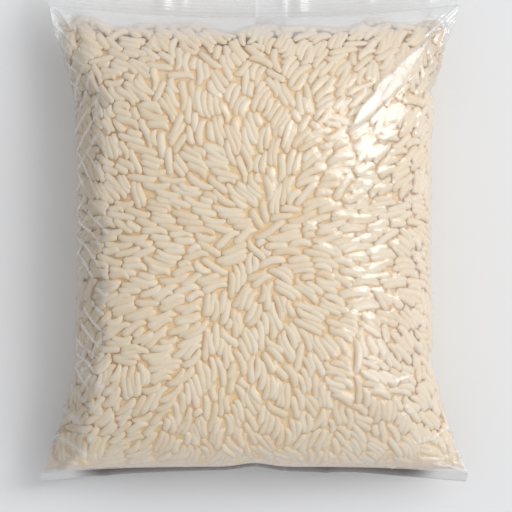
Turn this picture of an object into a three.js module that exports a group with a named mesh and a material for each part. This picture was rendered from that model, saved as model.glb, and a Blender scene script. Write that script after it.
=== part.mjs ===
// A clear pillow bag of long-grain rice, lying on its back.
//
// The bag is one tube of film, pressed flat and crimped shut at both ends. Filled, the tube is round in
// the middle and narrower than it is flat, so its four corners stand out as flat ears. The whole sealed
// bag is one solid: X runs across it, Y from the bottom seal to the top seal, and Z up from the surface
// it lies on. Millimetres throughout.
import * as THREE from "three";

// Driving dimensions.
const OVERALL_LENGTH = 168.6; // tip of the bottom ears to the cut edge of the top seal
const FLAT_HALF_WIDTH = { bottom: 71.3, top: 68.8 }; // half the width of each seal
const BODY_HALF_WIDTH = 59; // half the width between the ears
const EAR_LENGTH = { bottom: { left: 38, right: 39 }, top: { left: 33, right: 29 } }; // along the side
const EAR_CURVE = { bottom: 1.3, top: 1.0 }; // 1 is a straight side to the ear, more is hollow
const CROWN = 25.5; // height of the filled top above the seam level
const BELLY = 24; // depth of the filled underside below the seam level, before the floor flattens it
const SEAM_HEIGHT = { end: 16, middle: 20.5 }; // level of the widest line of the bag

// The seals.
const BAND = 9; // width of each crimped seal
const BAND_THICKNESS = 0.5;
const BAND_DROOP = { bottom: 70, top: 8 }; // degrees that each seal hangs below the horizontal
const SEAL_BOW = { bottom: 3.5, top: 4.4 }; // how far the filling draws the middle of each seal inwards
const BOW_REACH = 26; // how far that bow carries into the body
const RIB_COUNT = 5; // crimped ribs along each seal
const RIB_HEIGHT = 0.22;
const NOSE_SLUMP = 3; // how far the filling sags out over the bottom seal
const NOSE_REACH = 12;
const BACK_SEAM_PINCH = 1.2; // notch where the back seam crosses the bottom seal
const BACK_SEAM_HALF_WIDTH = 5;

// Section shape: |x/a|^across + |z/b|^upright = 1, from a thin lens at a seal to a full round body.
const LENS = { across: 1.8, upright: 0.8 };
const FULL = { across: 2.8, upright: 2.2 };
const LENS_LENGTH = 36; // how far from a seal the lens has opened to the full section
const END_ROUNDNESS = 3; // how squarely the crown runs out to the ends

// Folds. Each ear is buckled by creases that run as arcs round its tip.
const EAR_FOLD_RADII = { bottom: [15, 31, 40], top: [22, 33] };
const FOLD_HEIGHT = 0.9;
const FOLD_WIDTH = 1.8;
const FOLD_EDGE_POWER = 4; // how fast a fold dies out away from the side
const NOTCH = { depth: 1.1, width: 2.2 }; // where the ear's crease ends and the side dents
const SHOULDER = { height: 0.7, width: 7 }; // the bulge just past the notch
const LUMP_HEIGHT = 0.45; // gentle unevenness of the filling

// Facets.
const AROUND = 48;
const ALONG = 62;

const radians = THREE.MathUtils.degToRad;
const bell = (distance, width) => Math.exp(-((distance / width) ** 2));
const smooth = (x) => THREE.MathUtils.smoothstep(x, 0, 1);

const SEAL_Y = {
  bottom: -OVERALL_LENGTH / 2 + BAND * Math.cos(radians(BAND_DROOP.bottom)),
  top: OVERALL_LENGTH / 2 - BAND * Math.cos(radians(BAND_DROOP.top)),
};
const BODY_LENGTH = SEAL_Y.top - SEAL_Y.bottom;

// Distances of a station from each seal, measured along the side.
function fromSeals(side) {
  return { bottom: side - SEAL_Y.bottom, top: SEAL_Y.top - side };
}

// Half the width of the bag at a station, on the side that the sign of across names.
function halfWidth(side, across) {
  const from = fromSeals(side);
  let width = BODY_HALF_WIDTH;
  for (const end of ["bottom", "top"]) {
    const ear = EAR_LENGTH[end][across < 0 ? "left" : "right"];
    const flare = Math.max(0, 1 - from[end] / ear) ** EAR_CURVE[end];
    width += (FLAT_HALF_WIDTH[end] - BODY_HALF_WIDTH) * flare;
    width -= NOTCH.depth * bell(from[end] - ear, NOTCH.width);
    width += SHOULDER.height * bell(from[end] - ear - SHOULDER.width, SHOULDER.width);
  }
  return width;
}

// How full the bag is at a station: 0 at a seal, 1 in the middle.
function fullness(side) {
  const t = Math.abs((2 * (side - SEAL_Y.bottom)) / BODY_LENGTH - 1);
  return Math.sqrt(Math.max(0, 1 - Math.min(t, 1) ** END_ROUNDNESS));
}

// How far a point is drawn along Y by the bow of the seals. across is x over the half-width.
function bow(side, across) {
  const from = fromSeals(side);
  const centre = 1 - across ** 2;
  const pinch = BACK_SEAM_PINCH * bell(across * BODY_HALF_WIDTH, BACK_SEAM_HALF_WIDTH);
  return (
    (SEAL_BOW.bottom * centre + pinch) * Math.exp(-Math.max(0, from.bottom) / BOW_REACH) -
    SEAL_BOW.top * centre * Math.exp(-Math.max(0, from.top) / BOW_REACH)
  );
}

// How far the upper film sags out over the bottom seal, at a share of the crown's height.
function slump(fromBottom, height) {
  return NOSE_SLUMP * Math.sin(Math.PI * Math.min(1, height)) * Math.exp(-fromBottom / NOSE_REACH);
}

// Height of the ear folds at a point of the side.
function folds(side, x, edge) {
  let height = 0;
  for (const end of ["bottom", "top"]) {
    const along = Math.abs(side - SEAL_Y[end]);
    const radius = Math.hypot(FLAT_HALF_WIDTH[end] - Math.abs(x), along);
    for (const arc of EAR_FOLD_RADII[end]) {
      height += FOLD_HEIGHT * Math.exp(-Math.abs(radius - arc) / FOLD_WIDTH);
    }
  }
  return height * edge ** FOLD_EDGE_POWER;
}

// Gentle lumps of the filling, the same on every build.
function lumps(x, side) {
  return (
    LUMP_HEIGHT *
    (Math.sin(0.071 * x + 0.043 * side + 0.6) + Math.sin(0.052 * x - 0.088 * side + 2.1))
  );
}

// A point of the filled body. turn goes once round the section, from the right side over the crown.
function bodyPoint(side, turn) {
  const from = fromSeals(side);
  const full = fullness(side);
  const opened = smooth(Math.min(from.bottom, from.top) / LENS_LENGTH);
  const across = Math.cos(turn);
  const edge = Math.abs(across);
  const half = halfWidth(side, across);
  const power = THREE.MathUtils.lerp(LENS.across, FULL.across, opened);
  const upright = THREE.MathUtils.lerp(LENS.upright, FULL.upright, opened);
  const rise = Math.max(0, 1 - edge ** power) ** (1 / upright);
  const upper = Math.sin(turn) >= 0;
  const depth = BAND_THICKNESS / 2 + full * (upper ? CROWN : BELLY);
  const outward = folds(side, across * half, edge) * Math.min(1, full * 2);
  const x = across * half + Math.sign(across) * outward * edge;
  const lump = upper ? full * rise * lumps(x, side) : 0;
  const lift = rise * depth + lump + outward * (1 - edge);
  const seam = THREE.MathUtils.lerp(SEAM_HEIGHT.end, SEAM_HEIGHT.middle, full);
  const z = seam + (upper ? lift : -lift);
  const y = side + bow(side, across) - (upper ? slump(from.bottom, full * rise) : 0);
  return new THREE.Vector3(x, y, Math.max(0, z));
}

// A point of a crimped seal, out from the body by the given distance. The ribs run across the bag.
function bandPoint(end, out, rib, turn) {
  const side = SEAL_Y[end];
  const across = Math.cos(turn);
  const half = (BAND_THICKNESS / 2) * Math.sign(Math.round(Math.sin(turn) * 1e6));
  const offset = half + rib * RIB_HEIGHT;
  const droop = radians(BAND_DROOP[end]);
  const way = end === "top" ? 1 : -1;
  return new THREE.Vector3(
    across * FLAT_HALF_WIDTH[end],
    side + bow(side, across) + way * (out * Math.cos(droop) + offset * Math.sin(droop)),
    SEAM_HEIGHT.end - out * Math.sin(droop) + offset * Math.cos(droop),
  );
}

// The rings of points of one seal, from its cut edge in to the body.
function bandRings(end) {
  const rings = [];
  const steps = 2 * RIB_COUNT;
  for (let step = 0; step < steps; step++) {
    const out = BAND * (1 - step / steps);
    const rib = step === 0 ? 0 : step % 2 ? 1 : -1;
    rings.push((turn) => bandPoint(end, out, rib, turn));
  }
  return rings;
}

// The stations of the body, closer together at the ends, where it closes quickly.
function bodyRings() {
  const rings = [];
  for (let step = 0; step <= ALONG; step++) {
    const even = step / ALONG;
    const share = even - (0.82 * Math.sin(2 * Math.PI * even)) / (2 * Math.PI);
    const side = SEAL_Y.bottom + BODY_LENGTH * share;
    rings.push((turn) => bodyPoint(side, turn));
  }
  return rings;
}

// One closed skin over all the rings, with a flat strip across each cut edge.
function skin(rings) {
  const points = [];
  const triangles = [];
  for (const ring of rings) {
    for (let j = 0; j < AROUND; j++) {
      points.push(...ring((2 * Math.PI * j) / AROUND).toArray());
    }
  }
  const at = (ring, j) => ring * AROUND + ((j + AROUND) % AROUND);
  for (let i = 0; i + 1 < rings.length; i++) {
    for (let j = 0; j < AROUND; j++) {
      triangles.push(at(i, j), at(i + 1, j), at(i + 1, j + 1));
      triangles.push(at(i, j), at(i + 1, j + 1), at(i, j + 1));
    }
  }
  const last = rings.length - 1;
  for (let j = 0; j < AROUND / 2; j++) {
    for (const [ring, flip] of [
      [0, false],
      [last, true],
    ]) {
      const corners = [at(ring, j), at(ring, j + 1), at(ring, -j - 1), at(ring, -j)];
      if (flip) corners.reverse();
      const [a, b, c, d] = corners;
      if (c !== b) triangles.push(a, b, c);
      if (d !== a) triangles.push(a, c, d);
    }
  }
  const geometry = new THREE.BufferGeometry();
  geometry.setAttribute("position", new THREE.Float32BufferAttribute(points, 3));
  geometry.setIndex(triangles);
  geometry.computeVertexNormals();
  return geometry;
}

function filledBag() {
  const rings = [...bandRings("bottom"), ...bodyRings(), ...bandRings("top").reverse()];
  const material = new THREE.MeshStandardMaterial({
    color: 0xe4d5bd,
    roughness: 0.25,
    metalness: 0,
  });
  const mesh = new THREE.Mesh(skin(rings), material);
  mesh.name = "filled_bag";
  return mesh;
}

const bagOfRice = new THREE.Group();
bagOfRice.add(filledBag());

export default bagOfRice;
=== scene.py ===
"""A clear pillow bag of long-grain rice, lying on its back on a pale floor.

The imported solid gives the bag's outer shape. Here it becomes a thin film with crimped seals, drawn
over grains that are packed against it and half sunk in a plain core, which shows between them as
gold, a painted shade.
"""

import math

import bmesh
import bpy
import numpy as np
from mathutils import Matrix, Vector
from mathutils.bvhtree import BVHTree
from mathutils.kdtree import KDTree


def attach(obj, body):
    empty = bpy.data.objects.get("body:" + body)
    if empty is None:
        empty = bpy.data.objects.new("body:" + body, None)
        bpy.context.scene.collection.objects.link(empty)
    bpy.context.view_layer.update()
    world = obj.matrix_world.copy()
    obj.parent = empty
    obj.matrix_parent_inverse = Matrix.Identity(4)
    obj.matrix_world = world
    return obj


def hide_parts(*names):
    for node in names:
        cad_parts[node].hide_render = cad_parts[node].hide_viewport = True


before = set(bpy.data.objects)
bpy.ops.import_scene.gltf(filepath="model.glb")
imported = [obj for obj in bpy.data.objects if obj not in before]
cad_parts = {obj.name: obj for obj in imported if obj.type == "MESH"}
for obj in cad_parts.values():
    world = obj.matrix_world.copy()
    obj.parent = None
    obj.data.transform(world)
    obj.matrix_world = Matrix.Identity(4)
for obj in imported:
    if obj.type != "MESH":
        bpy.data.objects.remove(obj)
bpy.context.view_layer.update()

bl_info = {
    "name": "Bag of rice",
    "version": (1, 0, 0),
    "blender": (4, 5, 0),
    "location": "View3D > Sidebar > Bag of rice",
    "description": "Builds a clear film bag filled with long-grain rice around its packed solid",
    "category": "Object",
}

MM = 0.001
NODE = "filled_bag"
BODY = "root"

# The bag's shape, in millimetres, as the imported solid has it.
OVERALL_LENGTH = 168.6
FLAT_HALF_WIDTH = {"bottom": 71.3, "top": 68.8}
BODY_HALF_WIDTH = 59.0
EAR_LENGTH = {"bottom": (38.0, 39.0), "top": (33.0, 29.0)}  # left, right
EAR_CURVE = {"bottom": 1.3, "top": 1.0}
CROWN = 25.5
BELLY = 24.0
SEAM_HEIGHT = (16.0, 20.5)  # at the ends, in the middle
BAND = 9.0
BAND_THICKNESS = 0.5
BAND_DROOP = {"bottom": 70.0, "top": 8.0}
SEAL_BOW = {"bottom": 3.5, "top": 4.4}
BOW_REACH = 26.0
NOSE_SLUMP = 3.0
NOSE_REACH = 12.0
BACK_SEAM_PINCH = 1.2
BACK_SEAM_HALF_WIDTH = 5.0
LENS = (1.8, 0.8)
FULL = (2.8, 2.2)
LENS_LENGTH = 36.0
END_ROUNDNESS = 3.0
EAR_FOLD_RADII = {"bottom": (15.0, 31.0, 40.0), "top": (22.0, 33.0)}
FOLD_HEIGHT = 0.9
FOLD_WIDTH = 1.8
FOLD_EDGE_POWER = 4
NOTCH = (1.1, 2.2)  # depth, width
SHOULDER = (0.7, 7.0)  # height, width
LUMP_HEIGHT = 0.45
EAR_SWELL = {"bottom": 1.7, "top": 0.7}  # rice in the ears holds the two films apart

SEAL_Y = {
    "bottom": -OVERALL_LENGTH / 2 + BAND * math.cos(math.radians(BAND_DROOP["bottom"])),
    "top": OVERALL_LENGTH / 2 - BAND * math.cos(math.radians(BAND_DROOP["top"])),
}
BODY_LENGTH = SEAL_Y["top"] - SEAL_Y["bottom"]


# ---------------------------------------------------------------- the bag's shape


def bell(distance, width):
    return np.exp(-((distance / width) ** 2))


def smooth(x):
    x = np.clip(x, 0, 1)
    return x * x * (3 - 2 * x)


def lerp(a, b, t):
    return a + (b - a) * t


def from_seals(side):
    return {"bottom": side - SEAL_Y["bottom"], "top": SEAL_Y["top"] - side}


def half_width(side, across):
    """Half the width of the bag at a station, on the side that the sign of across names."""
    gap = from_seals(side)
    width = np.full(np.broadcast(side, across).shape, BODY_HALF_WIDTH)
    for end in ("bottom", "top"):
        ear = np.where(across < 0, EAR_LENGTH[end][0], EAR_LENGTH[end][1])
        flare = np.maximum(0, 1 - gap[end] / ear) ** EAR_CURVE[end]
        width = width + (FLAT_HALF_WIDTH[end] - BODY_HALF_WIDTH) * flare
        width -= NOTCH[0] * bell(gap[end] - ear, NOTCH[1])
        width += SHOULDER[0] * bell(gap[end] - ear - SHOULDER[1], SHOULDER[1])
    return width


def fullness(side):
    """How full the bag is at a station: 0 at a seal, 1 in the middle."""
    t = np.abs(2 * (side - SEAL_Y["bottom"]) / BODY_LENGTH - 1)
    return np.sqrt(np.maximum(0, 1 - np.minimum(t, 1) ** END_ROUNDNESS))


def bow(side, across):
    """How far a point is drawn along Y by the bow of the seals."""
    gap = from_seals(side)
    centre = 1 - across**2
    pinch = BACK_SEAM_PINCH * bell(across * BODY_HALF_WIDTH, BACK_SEAM_HALF_WIDTH)
    return (SEAL_BOW["bottom"] * centre + pinch) * np.exp(
        -np.maximum(0, gap["bottom"]) / BOW_REACH
    ) - SEAL_BOW["top"] * centre * np.exp(-np.maximum(0, gap["top"]) / BOW_REACH)


def ear_folds(side, x, edge):
    """Height of the ear folds, which run as arcs round each ear's tip."""
    height = 0
    for end in ("bottom", "top"):
        along = np.abs(side - SEAL_Y[end])
        radius = np.hypot(FLAT_HALF_WIDTH[end] - np.abs(x), along)
        for arc in EAR_FOLD_RADII[end]:
            height = height + FOLD_HEIGHT * np.exp(-np.abs(radius - arc) / FOLD_WIDTH)
    return height * edge**FOLD_EDGE_POWER


def ear_swell(gap, edge):
    """How far the rice in the ears lifts each film from the seam."""
    lift = 0
    for end, height in EAR_SWELL.items():
        lift = lift + height * smooth(gap[end] / 3.5) * bell(gap[end], 17)
    return lift * smooth((edge - 0.5) / 0.35) * (1 - edge**14)


def lumps(x, side):
    """Gentle unevenness of the filling."""
    return LUMP_HEIGHT * (
        np.sin(0.071 * x + 0.043 * side + 0.6) + np.sin(0.052 * x - 0.088 * side + 2.1)
    )


def bag_point(side, turn, thickness=BAND_THICKNESS):
    """Points of the filled body, in millimetres. turn goes once round, from the right over the crown."""
    side, turn = np.broadcast_arrays(
        np.asarray(side, float), np.asarray(turn, float)
    )
    gap = from_seals(side)
    full = fullness(side)
    opened = smooth(np.minimum(gap["bottom"], gap["top"]) / LENS_LENGTH)
    across = np.cos(turn)
    edge = np.abs(across)
    half = half_width(side, across)
    power = lerp(LENS[0], FULL[0], opened)
    upright = lerp(LENS[1], FULL[1], opened)
    rise = np.maximum(0, 1 - edge**power) ** (1 / upright)
    upper = np.sin(turn) >= 0
    depth = thickness / 2 + full * np.where(upper, CROWN, BELLY)
    outward = ear_folds(side, across * half, edge) * np.minimum(1, full * 2)
    x = across * half + np.sign(across) * outward * edge
    lump = np.where(upper, full * rise * lumps(x, side), 0)
    lift = rise * depth + lump + outward * (1 - edge) + ear_swell(gap, edge)
    seam = lerp(SEAM_HEIGHT[0], SEAM_HEIGHT[1], full)
    z = seam + np.where(upper, lift, -lift)
    share = np.minimum(1, full * rise)
    slump = NOSE_SLUMP * np.sin(math.pi * share) * np.exp(-gap["bottom"] / NOSE_REACH)
    y = side + bow(side, across) - np.where(upper, slump, 0)
    return np.stack([x, y, np.maximum(0, z)], -1)


# ---------------------------------------------------------------- small tools


def lattice_noise(x, y, seed):
    """Smooth noise from -1 to 1 on a square lattice of side 1."""
    table = np.random.default_rng(seed).uniform(-1, 1, (64, 64))
    xi, yi = np.floor(x).astype(int), np.floor(y).astype(int)
    fx, fy = smooth(x - xi), smooth(y - yi)
    a, b = table[xi % 64, yi % 64], table[(xi + 1) % 64, yi % 64]
    c, d = table[xi % 64, (yi + 1) % 64], table[(xi + 1) % 64, (yi + 1) % 64]
    return lerp(lerp(a, b, fx), lerp(c, d, fx), fy)


def mesh_object(name, points, faces, smooth_shaded=True):
    """A mesh object in metres from points in millimetres."""
    mesh = bpy.data.meshes.new(name)
    mesh.from_pydata((np.asarray(points) * MM).tolist(), [], faces)
    mesh.polygons.foreach_set("use_smooth", [smooth_shaded] * len(mesh.polygons))
    mesh.update()
    made = bpy.data.objects.new(name, mesh)
    bpy.context.scene.collection.objects.link(made)
    return made


def turn_outward(obj):
    """Recalculates a closed mesh's normals to face out of it."""
    shape = bmesh.new()
    shape.from_mesh(obj.data)
    bmesh.ops.recalc_face_normals(shape, faces=shape.faces)
    shape.to_mesh(obj.data)
    shape.free()
    obj.data.polygons.foreach_set("use_smooth", [True] * len(obj.data.polygons))


def add_attribute(obj, name, values):
    values = np.asarray(values, np.float32)
    kind = "FLOAT" if values.ndim == 1 else "FLOAT_VECTOR"
    field = "value" if values.ndim == 1 else "vector"
    layer = obj.data.attributes.new(name, kind, "POINT")
    layer.data.foreach_set(field, values.ravel())


def grid_faces(rows, columns):
    """Quads over rows of points that each close on themselves, wound to face out of the bag."""
    i, j = np.meshgrid(np.arange(rows - 1), np.arange(columns), indexing="ij")
    k = (j + 1) % columns
    quads = np.stack(
        [i * columns + j, (i + 1) * columns + j, (i + 1) * columns + k, i * columns + k],
        -1,
    )
    return quads.reshape(-1, 4).tolist()


def zipped(over, under, places, base):
    """Triangles between two lines of points that share their two ends and run from right to left."""
    faces, i, j = [], 0, 0
    while i < len(over) - 1 or j < len(under) - 1:
        last_over, last_under = i == len(over) - 1, j == len(under) - 1
        ahead = not last_over and places[over[i + 1] - base]
        behind = not last_under and places[under[j + 1] - base]
        if last_under or (not last_over and ahead >= behind):
            corners = (over[i], over[i + 1], under[j])
            i += 1
        else:
            corners = (over[i], under[j + 1], under[j])
            j += 1
        if len(set(corners)) == 3:
            faces.append(corners)
    return faces


def end_faces(x, steps):
    """Triangles that close the first and the last ring of a body that bag_point made."""
    rows, columns = x.shape
    made = []
    for row, flip in ((0, False), (rows - 1, True)):
        over = [row * columns + j for j in range(steps[0] + 1)]
        under = [row * columns + (-j) % columns for j in range(steps[1] + 1)]
        for corners in zipped(over, under, x[row], row * columns):
            made.append(corners[::-1] if flip else corners)
    return made


def hex_colour(text):
    """Linear RGBA from an sRGB hex value."""
    parts = [int(text[i : i + 2], 16) / 255 for i in (1, 3, 5)]
    linear = [c / 12.92 if c <= 0.04045 else ((c + 0.055) / 1.055) ** 2.4 for c in parts]
    return (*linear, 1.0)


def node(tree, kind, settings=None, **links):
    """Adds a node, sets its properties, and fills its inputs with values or with another node's output.

    An input's keyword is its name in lower case with underscores, or in_N for the input of that number.
    """
    made = tree.nodes.new(kind)
    for key, value in (settings or {}).items():
        setattr(made, key, value)
    for key, value in links.items():
        if key.startswith("in_"):
            socket = made.inputs[int(key[3:])]
        else:
            socket = next(
                s for s in made.inputs if s.name.lower().replace(" ", "_") == key and s.enabled
            )
        if isinstance(value, bpy.types.NodeSocket):
            tree.links.new(value, socket)
        elif isinstance(value, bpy.types.Node):
            tree.links.new(value.outputs[0], socket)
        else:
            socket.default_value = value
    return made


def new_material(name):
    material = bpy.data.materials.new(name)
    material.use_nodes = True
    material.node_tree.nodes.clear()
    return material, material.node_tree


# ---------------------------------------------------------------- the film's grid


def even_steps(points, count):
    """Shares of a fine line's parameter that split its length into even steps."""
    length = np.r_[0, np.cumsum(np.linalg.norm(np.diff(points, axis=0), axis=1))]
    return np.interp(np.linspace(0, 1, count), length / length[-1], np.linspace(0, 1, len(points)))


def station_line(count):
    """Stations from seal to seal, evenly spaced over the crown."""
    fine = np.linspace(SEAL_Y["bottom"], SEAL_Y["top"], 4000)
    share = even_steps(bag_point(fine, math.pi / 2), count)
    return lerp(SEAL_Y["bottom"], SEAL_Y["top"], share)


def turn_line(front, back):
    """Turns round the section, evenly spaced over the front and, more widely, over the back."""
    middle = (SEAL_Y["bottom"] + SEAL_Y["top"]) / 2
    upper = np.linspace(0, math.pi, 4000)
    lower = np.linspace(math.pi, 2 * math.pi, 4000)
    over = lerp(0, math.pi, even_steps(bag_point(middle, upper), front + 1))
    under = lerp(math.pi, 2 * math.pi, even_steps(bag_point(middle, lower), back + 1))
    return np.r_[over[:-1], under[:-1]]


def grid_normals(points):
    """Outward normals of a grid whose rows close on themselves."""
    along = np.gradient(points, axis=0)
    around = np.roll(points, -1, axis=1) - np.roll(points, 1, axis=1)
    normal = np.cross(along, around)
    normal *= -1 if (normal[:, :, 2] * (points[:, :, 2] - 18)).sum() < 0 else 1
    length = np.linalg.norm(normal, axis=2, keepdims=True)
    return normal / np.maximum(length, 1e-9)


# ---------------------------------------------------------------- folds in the film


# Creases in plan, in millimetres: a line of straight pieces, the height and the width of its ridge, and
# how white the film goes along it: creased film, partly a painted glint along the crease.
CREASES = (
    # the edge between the front and the left side wall
    (
        ((-68, 74), (-65, 64), (-56.4, 53.4), (-49.7, 44.4), (-48.4, 20), (-48.6, -22), (-51, -55)),
        0.5,
        0.8,
        0.2,
    ),
    # drawn tight from the top corners
    (((68.6, 75.1), (64.6, 71.6), (60.9, 67.8), (57.5, 64.9)), 0.5, 0.45, 0.9),
    (((-67.6, 74.6), (-64.6, 72.6), (-62.2, 69.6), (-60.9, 66.8)), 0.6, 0.6, 0.7),
    (((-68.2, 74), (-66.2, 66), (-63, 58), (-59.6, 50), (-57.2, 44)), 0.3, 0.4, 0.35),
    # puckers round the bottom ears and under the top left one
    (((-65.6, -68.4), (-61, -70.6), (-56, -74.5)), 0.9, 1.0, 0.34),
    (((-62.6, -59), (-58.6, -63), (-54, -69)), 0.9, 1.1, 0.30),
    (((-57.8, -43.6), (-54.6, -48), (-47.5, -53)), 0.8, 1.1, 0.30),
    (((-60, -51), (-55.5, -56.5), (-49, -60)), 0.6, 0.9, 0.22),
    (((64.5, -66), (60, -69), (54, -71)), 0.6, 1.0, 0.25),
    (((60.5, -54), (56, -58.5), (49, -61)), 0.6, 1.0, 0.25),
    (((58, -43), (54, -47.5), (47, -50)), 0.6, 1.0, 0.22),
    (((59, 44), (55.5, 39), (53.5, 31)), 0.5, 0.8, 0.25),
    # across the bottom right ear
    (((59.5, -77.5), (65, -78.6), (70.5, -80.6)), 0.4, 0.5, 0.7),
    (((62.5, -72), (67.5, -74.5)), 0.3, 0.6, 0.3),
)
# The stretched fold from the top right corner: where it starts and points, and its half width on the way.
STRETCH = ((68.6, 75.1), (31.9, 33.4))
STRETCH_SHARES = (0.22, 0.30, 0.35, 0.42, 0.5, 0.62, 0.75, 0.88, 0.97, 1.05)
STRETCH_HALF_WIDTHS = (0.0, 0.7, 1.2, 2.2, 3.0, 3.3, 3.1, 2.4, 1.5, 0.0)
STRETCH_LEAN = 0.2  # fall across the fold, towards the right, for each millimetre
STRETCH_LIFT = (0.8, 1.2)  # over the grains, and more where it bridges from the corner
STRETCH_CROWN = 0.012


def beside(places, line):
    """Distance in plan from each place to a line of straight pieces."""
    line = np.asarray(line, float)
    best = np.full(places.shape[:-1], 1e9)
    for a, b in zip(line[:-1], line[1:]):
        way = b - a
        share = np.clip(((places - a) @ way) / (way @ way), 0, 1)
        best = np.minimum(best, np.linalg.norm(places - a - share[..., None] * way, axis=-1))
    return best


def fold_net(u, v, seed):
    """A net of slanting creases, as film buckles down a side wall: 1 on a crease, 0 off it."""
    net = np.zeros(u.shape)
    for slant in (1, -1):
        warp = 0.45 * lattice_noise(u / 9 + 5, v / 12, seed + slant)
        t = v / 6.4 + slant * (u / 5.8 + warp)
        away = np.abs(t - np.round(t)) * 4.3
        there = smooth(0.75 + 1.4 * lattice_noise(u / 7, v / 10 + 3 * slant, seed + 2 + slant))
        net = np.maximum(net, bell(away, 0.42) * there)
    return net


def stretched_fold(points, upper):
    """Lays the stretched fold over the film. Returns the new points and how far each is in the fold."""
    root, tip = np.array(STRETCH[0]), np.array(STRETCH[1])
    reach = np.linalg.norm(tip - root)
    way = (tip - root) / reach
    across = np.array([-way[1], way[0]])
    away = points[:, :, :2] - root
    share, off = (away @ way) / reach, away @ across
    line = upper & (np.abs(off) < 1.0) & (share > 0.05) & (share < 1.2)
    ridge = np.polyval(np.polyfit(share[line], points[:, :, 2][line], 4), share)
    half = np.interp(share, STRETCH_SHARES, STRETCH_HALF_WIDTHS, 0, 0)
    half = half * (1 + 0.16 * lattice_noise(share * 9, np.sign(off) * 3.0, 61))
    inside = smooth((half - np.abs(off)) / 0.5 + 0.5) * (half > 0.05) * upper
    lift = STRETCH_LIFT[0] + STRETCH_LIFT[1] * smooth((0.55 - share) / 0.3)
    level = ridge + lift - STRETCH_LEAN * off - STRETCH_CROWN * off**2
    shaped = points.copy()
    shaped[:, :, 2] = lerp(points[:, :, 2], level, inside)
    return shaped, inside


# ---------------------------------------------------------------- the space inside the film


GRID_LOW, GRID_HIGH = (-74.0, -86.0, -3.0), (74.0, 80.0, 52.0)  # a little more than the filling


class Inside:
    """Depth under the film, in millimetres, on a grid of points with straight-line filling between them."""

    def __init__(self, pitch, headspace):
        low, high = np.array(GRID_LOW), np.array(GRID_HIGH)
        self.low, self.pitch = low, pitch
        self.shape = np.ceil((high - low) / pitch).astype(int) + 1
        stations, turns = station_line(150), turn_line(90, 60)
        points = bag_point(stations[:, None], turns[None, :])
        flat = points.reshape(-1, 3)
        tree = BVHTree.FromPolygons(flat.tolist(), grid_faces(len(stations), len(turns)))
        axes = [low[k] + pitch * np.arange(self.shape[k]) for k in range(3)]
        at = np.stack(np.meshgrid(*axes, indexing="ij"), -1).reshape(-1, 3)
        depth = np.empty(len(at))
        for n, p in enumerate(at.tolist()):
            place, normal, _, distance = tree.find_nearest(p)
            out = sum((p[k] - place[k]) * normal[k] for k in range(3))
            depth[n] = -distance if out > 0 else distance
        # beyond the knife edges of the ears and seals the nearest face can't tell which side it is on
        station = np.clip(at[:, 1], SEAL_Y["bottom"], SEAL_Y["top"])
        share = at[:, 0] / half_width(station, at[:, 0])
        shift = bow(station, np.clip(share, -1, 1))
        low_y, high_y = SEAL_Y["bottom"] + shift, SEAL_Y["top"] + shift
        beyond = (np.abs(share) > 0.995) | (at[:, 1] > high_y)
        beyond |= at[:, 1] < low_y - NOSE_SLUMP
        beyond |= (at[:, 1] < low_y) & (at[:, 2] < SEAM_HEIGHT[0])
        depth[beyond] = -np.abs(depth[beyond])
        self.film = depth.reshape(self.shape)
        across = np.clip(at[:, 0] / FLAT_HALF_WIDTH["top"], -1, 1)
        top = SEAL_Y["top"] - SEAL_BOW["top"] * (1 - across**2) - headspace
        top += 1.2 * np.sin(at[:, 0] * 0.19) + 0.9 * np.sin(at[:, 0] * 0.33 + 1.0)
        self.room = np.minimum(self.film, (top - at[:, 1]).reshape(self.shape))
        self.slope = np.stack(np.gradient(self.room, pitch), -1)

    def read(self, table, points):
        where = (points - self.low) / self.pitch
        where = np.clip(where, 0, np.array(self.shape) - 1.001)
        cell = where.astype(int)
        share = where - cell
        total = 0
        for dx in (0, 1):
            for dy in (0, 1):
                for dz in (0, 1):
                    weight = (
                        (share[:, 0] if dx else 1 - share[:, 0])
                        * (share[:, 1] if dy else 1 - share[:, 1])
                        * (share[:, 2] if dz else 1 - share[:, 2])
                    )
                    value = table[cell[:, 0] + dx, cell[:, 1] + dy, cell[:, 2] + dz]
                    total = total + (weight[:, None] * value if value.ndim == 2 else weight * value)
        return total

    def depth(self, points):
        return self.read(self.room, points)

    def inward(self, points):
        slope = self.read(self.slope, points)
        return slope / np.maximum(np.linalg.norm(slope, axis=1, keepdims=True), 1e-6)


# ---------------------------------------------------------------- packing the grains


def unit(v):
    return v / np.maximum(np.linalg.norm(v, axis=-1, keepdims=True), 1e-9)


def seed_grains(count, layers, thickness, rng):
    """Places for the grains, spread evenly under the film in layers, and the film's normal over each."""
    stations, turns = station_line(200), turn_line(150, 130)
    points = bag_point(stations[:, None], turns[None, :])
    normals = grid_normals(points)
    area = np.linalg.norm(
        np.cross(np.gradient(points, axis=0), np.gradient(points, axis=1)), axis=2
    )
    total = np.cumsum(area.ravel())
    golden = 0.6180339887
    pick = np.searchsorted(total, ((np.arange(count) * golden) % 1) * total[-1])
    pick = np.minimum(pick, area.size - 1)
    base, normal = points.reshape(-1, 3)[pick], normals.reshape(-1, 3)[pick]
    layer = rng.integers(0, layers, count)
    depth = thickness * (0.55 + 0.95 * layer + rng.uniform(-0.1, 0.1, count))
    centre = base - normal * depth[:, None] + rng.normal(0, 0.6, (count, 3))
    return centre, normal


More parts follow.
